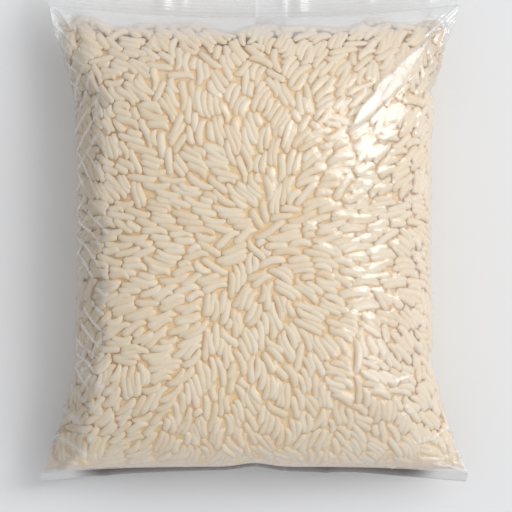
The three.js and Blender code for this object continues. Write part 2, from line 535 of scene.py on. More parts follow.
def fan(centre, normal, rng):
    """The way each grain starts: outwards from the middle of the crown, with neighbours turned alike."""
    away = centre * [1, 1, 0] - np.array([0.0, -3.0, 0.0])
    swirl = np.radians(32) * lattice_noise(centre[:, 0] / 13, centre[:, 1] / 13, 5)
    swirl += np.radians(24) * rng.normal(0, 1, len(centre))
    calm = np.clip(np.linalg.norm(away, axis=1) / 14, 0, 1)
    swirl += (1 - calm) * rng.uniform(-1.6, 1.6, len(centre))
    away = away - normal * (away * normal).sum(1, keepdims=True)
    away = unit(away)
    side = np.cross(normal, away)
    return away * np.cos(swirl)[:, None] + side * np.sin(swirl)[:, None]


def neighbour_pairs(centre, reach):
    tree = KDTree(len(centre))
    for n, p in enumerate(centre.tolist()):
        tree.insert(p, n)
    tree.balance()
    widest = float(reach.max())
    first, second = [], []
    for n, p in enumerate(centre.tolist()):
        for _, other, _ in tree.find_range(p, reach[n] + widest):
            if other > n:
                first.append(n)
                second.append(other)
    first, second = np.array(first), np.array(second)
    near = np.linalg.norm(centre[first] - centre[second], axis=1) < reach[first] + reach[second]
    return first[near], second[near]


def closest_shares(a1, b1, a2, b2):
    """Where along each of two straight grains they come closest, from 0 to 1."""
    d1, d2, r = b1 - a1, b2 - a2, a1 - a2
    a, e = (d1 * d1).sum(1), (d2 * d2).sum(1)
    b, c, f = (d1 * d2).sum(1), (d1 * r).sum(1), (d2 * r).sum(1)
    spread = a * e - b * b
    s = np.where(spread > 1e-6, np.clip((b * f - c * e) / np.maximum(spread, 1e-6), 0, 1), 0.5)
    t = np.clip((b * s + f) / e, 0, 1)
    s = np.clip((b * t - c) / a, 0, 1)
    return s, t


FLOOR_GAP = 1.9  # lowest line of a grain's middle, in millimetres


def pack_grains(inside, centre, way, length, radius, rounds):
    """Presses the grains outwards against the film and pushes them off each other, for a set number of
    rounds. The filling is too tight for them all to come clear, so they end up pressed into each other."""
    half = length / 2 - radius * 0.8
    ends = np.stack([centre - way * half[:, None], centre + way * half[:, None]], 1)
    count = len(centre)
    for turn in range(rounds):
        if turn % 12 == 0:
            middle = ends.mean(1)
            first, second = neighbour_pairs(middle, half + radius + 0.35)
        s, t = closest_shares(ends[first, 0], ends[first, 1], ends[second, 0], ends[second, 1])
        p = lerp(ends[first, 0], ends[first, 1], s[:, None])
        q = lerp(ends[second, 0], ends[second, 1], t[:, None])
        apart = p - q
        distance = np.linalg.norm(apart, axis=1)
        wide = radius[first] + radius[second]
        hit = distance < wide
        i, j, s, t = first[hit], second[hit], s[hit], t[hit]
        n = apart[hit] / np.maximum(distance[hit], 1e-6)[:, None]
        over = (wide - distance)[hit]
        share = over / ((1 - s) ** 2 + s**2 + (1 - t) ** 2 + t**2)
        move = np.zeros((count, 2, 3))
        times = np.zeros((count, 2))
        for who, end, weight, sign in (
            (i, 0, 1 - s, 1),
            (i, 1, s, 1),
            (j, 0, 1 - t, -1),
            (j, 1, t, -1),
        ):
            push = n * (sign * share * weight)[:, None]
            for axis in range(3):
                move[:, end, axis] += np.bincount(who, push[:, axis], count)
            times[:, end] += np.bincount(who, weight, count)
        ends += move * (1.5 / np.maximum(times, 1.5))[:, :, None]
        # the filling's own weight and the tight film press every grain outwards
        flat = ends.reshape(-1, 3)
        inward = inside.inward(flat)
        pressed = 0.12 if turn < rounds * 0.6 else 0.03
        flat = flat - inward * pressed
        depth = inside.depth(flat)
        need = np.repeat(radius * 0.86, 2)
        flat = flat + inward * np.maximum(0, need - depth)[:, None]
        flat[:, 2] = np.maximum(flat[:, 2], FLOOR_GAP)
        ends = flat.reshape(-1, 2, 3)
        middle = ends.mean(1)
        way = unit(ends[:, 1] - ends[:, 0])
        # a grain under a tight film lies flat along it
        upright = inside.inward(middle)
        way = unit(way - 0.3 * upright * (way * upright).sum(1, keepdims=True))
        ends = np.stack([middle - way * half[:, None], middle + way * half[:, None]], 1)
    overlap = float(np.percentile(over, 95)) if len(over) else 0.0
    print(f"grains {count}, contacts {len(over)}, 95% of overlaps under {overlap:.2f} mm")
    held = (inside.depth(ends.reshape(-1, 3)).reshape(-1, 2) > radius[:, None] * 0.6).all(1)
    return ends.mean(1), unit(ends[:, 1] - ends[:, 0]), held


# ---------------------------------------------------------------- one grain


GRAIN_RINGS = (-0.97, -0.84, -0.48, 0.0, 0.48, 0.84, 0.97)
GRAIN_SIDES = 8
GRAIN_KINDS = {
    # bow and wave of its middle line in thicknesses, lean of the widest part, bluntness of the ends
    "straight": (0.08, 0.06, 0.03, 6.5),
    "curved": (0.42, 0.0, 0.07, 6.0),
    "plump": (0.14, -0.1, -0.08, 5.0),
    "bowed": (-0.24, 0.17, 0.10, 7.0),
}


def grain_template(name, bow, wave, lean, blunt):
    """A grain one unit long and one unit thick, lying along X, with a faint groove down one side."""
    points, faces = [(-0.5, -0.4 * bow, 0)], []
    for t in GRAIN_RINGS:
        wide = 0.5 * (1 - abs(t) ** blunt) ** 0.5 * (1 + lean * t)
        drop = bow * (0.6 - t * t) + wave * math.sin(math.pi * t)
        for m in range(GRAIN_SIDES):
            a = 2 * math.pi * m / GRAIN_SIDES
            groove = 1 - 0.06 * math.exp(-((a - math.pi / 2) ** 2) / 0.2)
            points.append(
                (0.5 * t, drop + wide * math.cos(a) * groove, wide * math.sin(a) * groove)
            )
    points.append((0.5, -0.4 * bow, 0))
    for k in range(len(GRAIN_RINGS) - 1):
        for m in range(GRAIN_SIDES):
            a, b = 1 + k * GRAIN_SIDES + m, 1 + k * GRAIN_SIDES + (m + 1) % GRAIN_SIDES
            faces.append((a, b, b + GRAIN_SIDES, a + GRAIN_SIDES))
    last = len(points) - 1
    for m in range(GRAIN_SIDES):
        a, b = 1 + m, 1 + (m + 1) % GRAIN_SIDES
        faces.append((0, b, a))
        faces.append((last, a + last - 1 - GRAIN_SIDES, b + last - 1 - GRAIN_SIDES))
    return mesh_object(name, np.array(points) / MM, faces)


def grain_tree():
    """Geometry Nodes: one grain at each point, turned and sized by the point's own attributes."""
    tree = bpy.data.node_groups.new("lay_grains", "GeometryNodeTree")
    face = tree.interface
    for name, kind in (
        ("Geometry", "Geometry"),
        ("Grain", "Object"),
        ("Thickness", "Float"),
        ("Flatness", "Float"),
        ("Material", "Material"),
    ):
        face.new_socket(name, in_out="INPUT", socket_type="NodeSocket" + kind)
    face.new_socket("Geometry", in_out="OUTPUT", socket_type="NodeSocketGeometry")
    given = tree.nodes.new("NodeGroupInput").outputs
    way = node(tree, "GeometryNodeInputNamedAttribute", {"data_type": "FLOAT_VECTOR"}, name="way")
    facing = node(
        tree, "GeometryNodeInputNamedAttribute", {"data_type": "FLOAT_VECTOR"}, name="facing"
    )
    length = node(
        tree, "GeometryNodeInputNamedAttribute", {"data_type": "FLOAT"}, name="grain_length"
    )
    girth = node(tree, "GeometryNodeInputNamedAttribute", {"data_type": "FLOAT"}, name="girth")
    turned = node(
        tree,
        "FunctionNodeAxesToRotation",
        {"primary_axis": "X", "secondary_axis": "Z"},
        in_0=way,
        in_1=facing,
    )
    product = {"operation": "MULTIPLY"}
    thick = node(tree, "ShaderNodeMath", product, in_0=girth, in_1=given["Thickness"])
    flat = node(tree, "ShaderNodeMath", product, in_0=thick, in_1=given["Flatness"])
    size = node(tree, "ShaderNodeCombineXYZ", in_0=length, in_1=thick, in_2=flat)
    grain = node(tree, "GeometryNodeObjectInfo", in_0=given["Grain"])
    laid = node(
        tree,
        "GeometryNodeInstanceOnPoints",
        points=given["Geometry"],
        instance=grain.outputs["Geometry"],
        rotation=turned,
        scale=size,
    )
    real = node(tree, "GeometryNodeRealizeInstances", geometry=laid)
    done = node(tree, "GeometryNodeSetMaterial", geometry=real, material=given["Material"])
    node(tree, "NodeGroupOutput", in_0=done)
    return tree


def laid_grains(name, tree, template, points, thickness, flatness, material):
    """Runs the tree on a cloud of points and returns the grains as one plain mesh."""
    cloud = mesh_object(name + "_points", points["centre"], [])
    for field in ("way", "facing", "girth", "tone"):
        add_attribute(cloud, field, points[field])
    add_attribute(cloud, "grain_length", points["length"] * MM)
    modifier = cloud.modifiers.new("lay_grains", "NODES")
    modifier.node_group = tree
    values = {
        "Grain": template,
        "Thickness": thickness * MM,
        "Flatness": flatness,
        "Material": material,
    }
    for item in tree.interface.items_tree:
        if item.in_out == "INPUT" and item.name in values:
            modifier[item.identifier] = values[item.name]
    cloud.update_tag()
    bpy.context.view_layer.update()
    graph = bpy.context.evaluated_depsgraph_get()
    mesh = bpy.data.meshes.new_from_object(cloud.evaluated_get(graph))
    mesh.name = name
    made = bpy.data.objects.new(name, mesh)
    bpy.context.scene.collection.objects.link(made)
    bpy.data.objects.remove(cloud)
    return made


def vertex_array(obj):
    flat = np.empty(len(obj.data.vertices) * 3, np.float32)
    obj.data.vertices.foreach_get("co", flat)
    return flat.reshape(-1, 3).astype(float)


# ---------------------------------------------------------------- materials


def rice_material(settings):
    """Polished white rice: hard, waxy and slightly see-through. The shader is opaque: it is ivory near the
    film and golden with depth, a painted shade for where one grain shades the next."""
    material, tree = new_material("polished_long_grain_rice")
    place = node(tree, "ShaderNodeTexCoord").outputs["Object"]
    tone = node(tree, "ShaderNodeAttribute", {"attribute_name": "tone"}).outputs["Fac"]
    deep = node(tree, "ShaderNodeAttribute", {"attribute_name": "deep"}).outputs["Fac"]
    # faint chalky clouds inside a grain, about 1.5 mm across
    chalk = node(tree, "ShaderNodeTexNoise", vector=place, scale=650.0, detail=2.0)
    chalk = node(tree, "ShaderNodeMapRange", value=chalk, in_1=0.35, in_2=0.7, in_3=0.0, in_4=0.35)
    pale = node(
        tree,
        "ShaderNodeMix",
        {"data_type": "RGBA"},
        in_0=tone,
        in_6=hex_colour(settings.ivory_hex),
        in_7=hex_colour(settings.cream_hex),
    ).outputs[2]
    pale = node(
        tree,
        "ShaderNodeMix",
        {"data_type": "RGBA"},
        in_0=chalk,
        in_6=pale,
        in_7=hex_colour(settings.chalk_hex),
    ).outputs[2]
    # painted shade: it turns golden from 0.3 to 1.7 mm under the film
    shade = node(tree, "ShaderNodeMapRange", value=deep, in_1=0.3, in_2=1.7, in_3=0.0, in_4=1.0)
    colour = node(
        tree,
        "ShaderNodeMix",
        {"data_type": "RGBA"},
        in_0=shade,
        in_6=pale,
        in_7=hex_colour(settings.depth_shade_hex),
    ).outputs[2]
    surface = node(
        tree,
        "ShaderNodeBsdfPrincipled",
        base_color=colour,
        roughness=0.45,
        ior=1.45,
    )
    node(tree, "ShaderNodeOutputMaterial", in_0=surface)
    return material


def core_material(settings):
    """Rice in the depths of the filling: a golden blur, painted shade, with specks of paler grains."""
    material, tree = new_material("rice_in_depth")
    place = node(tree, "ShaderNodeTexCoord").outputs["Object"]
    # specks the width of a grain, 2.6 mm
    speck = node(tree, "ShaderNodeTexNoise", vector=place, scale=380.0, detail=3.0)
    mixed = node(tree, "ShaderNodeMapRange", value=speck, in_1=0.3, in_2=0.8, in_3=0.0, in_4=0.5)
    pale = node(tree, "ShaderNodeAttribute", {"attribute_name": "pale"}).outputs["Fac"]
    added = {"operation": "ADD", "use_clamp": True}
    mixed = node(tree, "ShaderNodeMath", added, in_0=mixed, in_1=pale)
    colour = node(
        tree,
        "ShaderNodeMix",
        {"data_type": "RGBA"},
        in_0=mixed,
        in_6=hex_colour(settings.depth_shade_hex),
        in_7=hex_colour(settings.cream_hex),
    ).outputs[2]
    bump = node(tree, "ShaderNodeBump", height=speck, distance=0.001, strength=0.8)
    surface = node(
        tree, "ShaderNodeBsdfPrincipled", base_color=colour, roughness=0.8, normal=bump
    )
    node(tree, "ShaderNodeOutputMaterial", in_0=surface)
    return material


def film_material(name, haze, roughness, painted_shade_colour=None):
    """Cast polypropylene film: clear, glossy, and a little milky where it is creased or crimped.

    With a shade colour given, an attribute says where painted shade darkens it.
    """
    material, tree = new_material(name)
    place = node(tree, "ShaderNodeTexCoord")
    loose = node(tree, "ShaderNodeAttribute", {"attribute_name": "loose"}).outputs["Fac"]
    # the film's own faint ripple, about 4 mm from crest to crest
    ripple = node(
        tree, "ShaderNodeTexNoise", vector=place.outputs["Object"], scale=260.0, detail=2.0
    )
    bump = node(tree, "ShaderNodeBump", height=ripple, distance=0.0003, strength=0.35)
    gloss = node(
        tree, "ShaderNodeBsdfGlossy", color=(1, 1, 1, 1), roughness=roughness, normal=bump
    )
    clear = node(tree, "ShaderNodeBsdfTransparent", color=(0.985, 0.985, 0.98, 1))
    milk = node(tree, "ShaderNodeBsdfDiffuse", color=(0.9, 0.9, 0.9, 1))
    milky = node(
        tree, "ShaderNodeMapRange", value=loose, in_1=0.0, in_2=1.0, in_3=haze * 0.3, in_4=haze
    )
    # the white attribute: milky haze, and painted sheen and glints where it stands in for the lights'
    # reflection
    white = node(tree, "ShaderNodeAttribute", {"attribute_name": "white"}).outputs["Fac"]
    added = {"operation": "ADD", "use_clamp": True}
    milky = node(tree, "ShaderNodeMath", added, in_0=milky, in_1=white)
    body = node(tree, "ShaderNodeMixShader", in_0=milky, in_1=clear, in_2=milk)
    # painted shade: a dark diffuse mixed in where the attribute asks
    if painted_shade_colour:
        shade_paint = node(tree, "ShaderNodeBsdfDiffuse", color=painted_shade_colour)
        dust = node(tree, "ShaderNodeAttribute", {"attribute_name": "dust"}).outputs["Fac"]
        body = node(tree, "ShaderNodeMixShader", in_0=dust, in_1=body, in_2=shade_paint)
    # the same mirror share from inside and outside, as a sheet has that is thinner than a hair
    facing = node(tree, "ShaderNodeLayerWeight", blend=0.5, normal=bump).outputs["Facing"]
    grazing = node(tree, "ShaderNodeMath", {"operation": "POWER"}, in_0=facing, in_1=5.0)
    mirror = node(
        tree, "ShaderNodeMapRange", value=grazing, in_1=0.0, in_2=1.0, in_3=0.07, in_4=1.0
    )
    surface = node(tree, "ShaderNodeMixShader", in_0=mirror, in_1=body, in_2=gloss)
    node(tree, "ShaderNodeOutputMaterial", in_0=surface)
    return material


def floor_material(settings):
    """Matt white board, seamless."""
    material, tree = new_material("matt_white_board")
    place = node(tree, "ShaderNodeTexCoord").outputs["Object"]
    # the board's tooth, drawn 1.1 mm across, coarser than it is, so that it shows
    tooth = node(tree, "ShaderNodeTexNoise", vector=place, scale=900.0, detail=2.0)
    bump = node(tree, "ShaderNodeBump", height=tooth, distance=0.0001, strength=0.1)
    surface = node(
        tree,
        "ShaderNodeBsdfPrincipled",
        base_color=hex_colour(settings.floor_hex),
        roughness=0.75,
        normal=bump,
    )
    node(tree, "ShaderNodeOutputMaterial", in_0=surface)
    return material


# ---------------------------------------------------------------- settings


class RiceSettings(bpy.types.PropertyGroup):
    count: bpy.props.IntProperty(
        name="Grains", description="Grains laid under the film", default=5600
    )
    layers: bpy.props.IntProperty(
        name="Layers", description="How many grains deep they are laid out", default=2, min=1
    )
    length: bpy.props.FloatProperty(
        name="Length", description="Length of a usual grain", default=0.0088, subtype="DISTANCE"
    )
    thickness: bpy.props.FloatProperty(
        name="Thickness", description="Width of a usual grain", default=0.0029, subtype="DISTANCE"
    )
    flatness: bpy.props.FloatProperty(
        name="Flatness", description="A grain's height as a share of its width", default=0.64
    )
    closeness: bpy.props.FloatProperty(
        name="Closeness",
        description="Distance between two grains that touch, as a share of their width",
        default=0.87,
    )
    bed: bpy.props.FloatProperty(
        name="Bed",
        description="Depth of the plain core under the film",
        default=0.00115,
        subtype="DISTANCE",
    )
    headspace: bpy.props.FloatProperty(
        name="Headspace",
        description="Empty film between the rice and the top seal",
        default=0.004,
        subtype="DISTANCE",
    )
    ivory_hex: bpy.props.StringProperty(
        name="Ivory", description="Colour of the palest grains", default="#F5E5CB"
    )
    cream_hex: bpy.props.StringProperty(
        name="Cream", description="Colour of the warmer grains", default="#EED7B4"
    )
    chalk_hex: bpy.props.StringProperty(
        name="Chalk", description="Colour of chalky grains", default="#F0E6D6"
    )
    # painted shade: the gold in the depths between the grains and on the core
    depth_shade_hex: bpy.props.StringProperty(
        name="Depths", description="Colour between the grains", default="#F2D29C"
    )


class FilmSettings(bpy.types.PropertyGroup):
    front_steps: bpy.props.IntProperty(
        name="Steps over the front", description="Film mesh steps over the front", default=236
    )
    back_steps: bpy.props.IntProperty(
        name="Steps over the back", description="Film mesh steps over the back", default=64
    )
    stations: bpy.props.IntProperty(
        name="Stations", description="Film mesh steps from seal to seal", default=310
    )
    haze: bpy.props.FloatProperty(
        name="Haze", description="How milky the film is where it is loose", default=0.16
    )
    seal_haze: bpy.props.FloatProperty(
        name="Seal haze", description="How milky the crimped seals are", default=0.34
    )
    cling: bpy.props.FloatProperty(
        name="Cling",
        description="How far the film sinks between two grains",
        default=0.0004,
        subtype="DISTANCE",
    )
    # painted shade: the dark colour laid under the filling on the lower seal, on the shaded left side and
    # over the top ears
    dust_hex: bpy.props.StringProperty(
        name="Dust",
        description="Colour of the bran dust on the lower seal, the left side and the top ears",
        default="#4F3D2A",
    )


class StageSettings(bpy.types.PropertyGroup):
    floor_hex: bpy.props.StringProperty(
        name="Floor", description="Colour of the floor", default="#EBEBEB"
    )
    camera_height: bpy.props.FloatProperty(
        name="Camera height",
        description="Camera above the seam level",
        default=0.95,
        subtype="DISTANCE",
    )


shared = {}


# ---------------------------------------------------------------- operators


RICE_SEED = 11
GRID_PITCH = 1.5  # of the grid of depths, in millimetres
PACKING_ROUNDS = {"quick": 24, "full": 160}
BROKEN_SHARE = 0.05
KIND_SHARES = (0.26, 0.28, 0.2, 0.26)  # of the grains, in the order of GRAIN_KINDS


class BAG_OT_rice(bpy.types.Operator):
    """Packs loose grains of rice against the inside of the film"""

    bl_idname = "bag.rice"
    bl_label = "Rice"

    def execute(self, context):
        settings = context.scene.rice_settings
        rng = np.random.default_rng(RICE_SEED)
        inside = Inside(GRID_PITCH, settings.headspace / MM)
        count = settings.count
        usual = settings.length / MM
        thickness = settings.thickness / MM
        centre, normal = seed_grains(count, settings.layers, thickness, rng)
        length = np.clip(rng.normal(usual, usual * 0.15, count), usual * 0.6, usual * 1.35)
        broken = rng.random(count) < BROKEN_SHARE
        length[broken] *= rng.uniform(0.45, 0.75, broken.sum())
        girth = np.clip(rng.normal(1, 0.06, count), 0.85, 1.15)
        radius = thickness / 2 * girth * settings.closeness
        way = fan(centre, normal, rng)
        way = unit(way + normal * rng.normal(0, 0.12, count)[:, None])
        rounds = PACKING_ROUNDS["full"]
        centre, way, held = pack_grains(inside, centre, way, length, radius, rounds)
        facing = -inside.inward(centre)
        roll = rng.normal(0, 0.16, count)
        facing = unit(facing + np.cross(way, facing) * np.tan(np.clip(roll, -1, 1))[:, None])
        tone = np.clip(rng.normal(0.45, 0.28, count), 0, 1)
        kind = rng.choice(len(GRAIN_KINDS), count, p=KIND_SHARES)
        laid = {
            "centre": centre,
            "way": way,
            "facing": facing,
            "length": length,
            "girth": girth,
            "tone": tone,
        }
        material = rice_material(settings)
        tree = grain_tree()
        made = []
        for n, (name, form) in enumerate(GRAIN_KINDS.items()):
            template = grain_template(name + "_template", *form)
            chosen = (kind == n) & held
            points = {field: values[chosen] for field, values in laid.items()}
            grains = laid_grains(
                "rice_" + name, tree, template, points, thickness, settings.flatness, material
            )
            bpy.data.objects.remove(template)
            # depth under the film, which the rice shader turns into painted shade
            deep = inside.read(inside.film, vertex_array(grains) / MM)
            add_attribute(grains, "deep", np.clip(deep, 0, 6))
            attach(grains, BODY)
            made.append(grains)
        shared["rice"] = made
        return {"FINISHED"}


CORE_STEPS = (170, 120)  # mesh steps over the front and over the back
CORE_FLOOR = 1.2  # its lowest level, in millimetres, as the next three are
CORE_START = 1.2  # from the lower seal
CORE_EAR_INSET = 0.45  # under the film in the bottom ears
CORE_HALF_THICKNESS = 0.12  # where it is thinnest


class BAG_OT_core(bpy.types.Operator):
    """Fills the bag with one plain body, seen as painted golden shade between the grains and as rice in the
    ears
    """

    bl_idname = "bag.core"
    bl_label = "Core"

    def execute(self, context):
        settings = context.scene.rice_settings
        inset = settings.bed / MM
        top = SEAL_Y["top"] - settings.headspace / MM - 6
        share = np.linspace(-1, 1, 150)
        bottom = SEAL_Y["bottom"] + CORE_START
        stations = lerp(bottom, top, (np.sin(share * math.pi / 2) + 1) / 2)
        turns = turn_line(*CORE_STEPS)
        points = bag_point(stations[:, None], turns[None, :])
        # rice lies closely in the bottom ears, right out to the film
        low = stations[:, None] - SEAL_Y["bottom"]
        ear = smooth((np.abs(points[:, :, 0]) - 44) / 12) * smooth((15 - low) / 10)
        inset = lerp(inset, CORE_EAR_INSET, ear)
        seam = lerp(SEAM_HEIGHT[0], SEAM_HEIGHT[1], fullness(stations))[:, None]
        close = np.sqrt(1 - np.abs(share[:, None]) ** np.where(share[:, None] < 0, 40, 8))
        half = half_width(stations[:, None], points[:, :, 0])
        narrow = np.where(share[:, None] < 0, 1, lerp(0.86, 1, close))
        points[:, :, 0] *= (half - inset * 1.3) / half * narrow
        tall = points[:, :, 2] - seam
        wave = inset + 0.25 * lattice_noise(points[:, :, 0] / 3, points[:, :, 1] / 3, 9)
        wave = wave + 0.35 * ear * lattice_noise(
            points[:, :, 0] / 2.2 + points[:, :, 1] / 5, points[:, :, 1] / 7, 12
        )
        lift = np.maximum(CORE_HALF_THICKNESS, (np.abs(tall) - wave) * close)
        points[:, :, 2] = seam + np.sign(tall) * lift
        points[:, :, 2] = np.maximum(points[:, :, 2], CORE_FLOOR)
        flat = points.reshape(-1, 3)
        faces = grid_faces(*points.shape[:2]) + end_faces(points[:, :, 0], CORE_STEPS)
        core = mesh_object("rice_core", flat, faces)
        # paler, with less painted shade, where the core comes right up to the film: in the bottom ears and
        # above the foot
        pale = np.maximum(0.8 * ear, 0.6 * smooth((11 - low) / 8))
        add_attribute(core, "pale", pale.ravel())
        core.data.materials.append(core_material(settings))
        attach(core, BODY)
        return {"FINISHED"}


def grain_depth(points, normals):
    """How far under the smooth film the nearest grain lies, straight in from each point of it."""
    vertices, faces, start = [], [], 0
    for obj in shared["rice"]:
        mesh = obj.data
        co = vertex_array(obj) / MM
        mesh.calc_loop_triangles()
        corners = np.empty(len(mesh.loop_triangles) * 3, np.int32)
        mesh.loop_triangles.foreach_get("vertices", corners)
        vertices.append(co)
        faces.append(corners.reshape(-1, 3) + start)
        start += len(co)
    tree = BVHTree.FromPolygons(
        np.vstack(vertices).tolist(), np.vstack(faces).tolist(), all_triangles=True
    )
    lead, reach = 2.0, 8.0  # how far outside the film a ray starts, and how far it goes
    nothing = 9.0  # the depth where it meets no grain
    origin = (points + normals * lead).reshape(-1, 3).tolist()
    inward = (-normals).reshape(-1, 3).tolist()
    depth = np.full(len(origin), nothing)
    for n, (p, d) in enumerate(zip(origin, inward)):
        hit = tree.ray_cast(p, d, reach)
        if hit[3] is not None:
            depth[n] = hit[3] - lead
    return depth.reshape(points.shape[:2])


SINK_ROUNDS = 24  # of relaxing the film over the grains
FILM_FLOOR = 0.25  # its lowest level, in millimetres
SIDE_WALLS = (
    # side, whiteness of the net of creases (partly painted glints) and of the wall between them (milky haze
    # on the left, painted sheen on the right), painted shade on the shaded left wall, seed
    (-1, 0.6, 0.05, 0.2, 41),
    (1, 0.3, 0.12, 0.0, 47),
)
# painted shade, faint, over the two top ears
TOP_EAR_SHADE = 0.09
# How white the film goes: milky haze, partly a painted highlight on the stretched fold, and in the
# last entry a painted sheen for the lights' reflection.
MILK_AND_SHEEN = {"stretched": 0.3, "headspace": 0.45, "foot": 0.28, "painted_sheen": 0.12}


class BAG_OT_film(bpy.types.Operator):
    """Draws the film over the grains, with its folds at the ears and its buckles down the sides"""

    bl_idname = "bag.film"
    bl_label = "Film"

    def execute(self, context):
        if "rice" not in shared:
            raise RuntimeError("the film is drawn over the grains, so the rice comes first")
        settings = context.scene.film_settings
        stations = station_line(settings.stations)
        turns = turn_line(settings.front_steps, settings.back_steps)
        points = bag_point(stations[:, None], turns[None, :])
        normals = grid_normals(points)
        grain = grain_depth(points, normals)
        gap = from_seals(stations[:, None] + 0 * turns[None, :])
        near = np.minimum(gap["bottom"], gap["top"])
        for axis in (0, 1):
            grain = np.minimum(grain, np.minimum(np.roll(grain, 1, axis), np.roll(grain, -1, axis)))
        # the film is a stretched skin: it spans the grains' tops and sinks a little between them
        sink = np.zeros_like(grain)
        cling = settings.cling / MM
        stop = np.where(grain > 6, 0.0, np.clip(grain - 0.05, -1.5, cling * 3))
        for _ in range(SINK_ROUNDS):
            beside_it = np.roll(sink, 1, 1) + np.roll(sink, -1, 1)
            spread = (beside_it + np.roll(sink, 1, 0) + np.roll(sink, -1, 0)) / 4
            sink = np.minimum(spread + cling * 0.12, stop)
            sink[0] = sink[-1] = 0
        held = smooth(near / 4)
        steps = np.diff(points, axis=1, append=points[:, :1])
        arc = np.cumsum(np.linalg.norm(steps, axis=2), axis=1)
        pucker = np.where(gap["top"] < gap["bottom"], 0.2, 0.45) * np.exp(-near / 6)
        pucker = pucker * lattice_noise(arc / 4.5, near / 30, 21)
        loose = smooth((grain - 0.8) / 1.5)
        out = 0.06 - sink * held + pucker * (1 - np.exp(-near / 2)) + 0.12 * loose * lattice_noise(
            arc / 7, stations[:, None] / 7 + 0 * arc, 22
        )
        upper = np.broadcast_to(np.sin(turns) >= 0, grain.shape)
        white = np.zeros(grain.shape)
        # creases go whiter, partly a painted glint
        for line, height, width, whiteness in CREASES:
            ridge = bell(beside(points[:, :, :2], line), width) * upper
            out = out + height * ridge
            white = np.maximum(white, whiteness * ridge)
        # the side walls, where the film buckles and goes grey; the left wall, turned from the lights, gets
        # painted shade, darkest between the creases, and the right wall a painted sheen
        v = stations[:, None] + 0 * arc
        inboard = half_width(v, points[:, :, 0]) - np.abs(points[:, :, 0])
        dust = np.zeros(grain.shape)
        for side, strength, veil_and_sheen, shade_paint, seed in SIDE_WALLS:
            here = upper * (points[:, :, 0] * side > 0)
            wall = smooth((11.5 + 2.5 * lattice_noise(v / 9, v * 0, seed) - inboard) / 4) * here
            net = fold_net(inboard * 1.25, v, seed) * wall * smooth((v + 56) / 9)
            out = out + 0.25 * net
            white = np.maximum(white, np.maximum(strength * net, veil_and_sheen * wall))
            dust = np.maximum(dust, shade_paint * wall * (1 - 0.7 * net) * smooth((66 - v) / 10))
        # painted shade, faint, over the two top ears
        top_ear = smooth((np.abs(points[:, :, 0]) - 52) / 8) * smooth((32 - gap["top"]) / 9) * upper
        dust = np.maximum(dust, TOP_EAR_SHADE * top_ear)
        shaped = points + normals * (out * smooth(near / 1.5))[:, :, None]
        shaped, stretched = stretched_fold(shaped, upper)
        # the stretched fold goes milky, which paints part of its highlight
        white = np.maximum(white, MILK_AND_SHEEN["stretched"] * stretched)
        # the slack film over the headspace is milkier, and a little rice flour clings above the foot
        white = np.maximum(white, MILK_AND_SHEEN["headspace"] * smooth((13 - gap["top"]) / 9) * upper)
        white = np.maximum(white, MILK_AND_SHEEN["foot"] * smooth((11 - gap["bottom"]) / 10) * upper)
        # painted sheen: the film is whitened over the top and down the right shoulder, for the lights'
        # reflection
        painted_sheen = np.maximum(smooth((42 - gap["top"]) / 38), smooth((points[:, :, 0] - 8) / 34))
        patchy = lattice_noise(points[:, :, 0] / 11, points[:, :, 1] / 11, 71)
        painted_sheen = painted_sheen * (0.8 + 0.2 * patchy)
        white = np.maximum(white, MILK_AND_SHEEN["painted_sheen"] * painted_sheen * upper)
        shaped[:, :, 2] = np.maximum(shaped[:, :, 2], FILM_FLOOR)
        # the two ends close on themselves inside the seals
        faces = grid_faces(*shaped.shape[:2])
        faces += end_faces(shaped[:, :, 0], (settings.front_steps, settings.back_steps))
        film = mesh_object("film", shaped.reshape(-1, 3), faces)
        for field, values in (("loose", loose), ("white", white), ("dust", dust)):
            add_attribute(film, field, values.ravel())
        painted_shade_colour = hex_colour(settings.dust_hex)
        film.data.materials.append(film_material("cast_film", settings.haze, 0.10, painted_shade_colour))
        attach(film, BODY)
        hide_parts(NODE)
        shared["film_points"] = shaped
        return {"FINISHED"}


BACK_SEAM_EDGES = (0.6, 10.6)  # the fold and the cut edge of the back seam, in millimetres
BACK_SEAM_HEIGHTS = (0.05, 0.19)  # of its two faces off the film


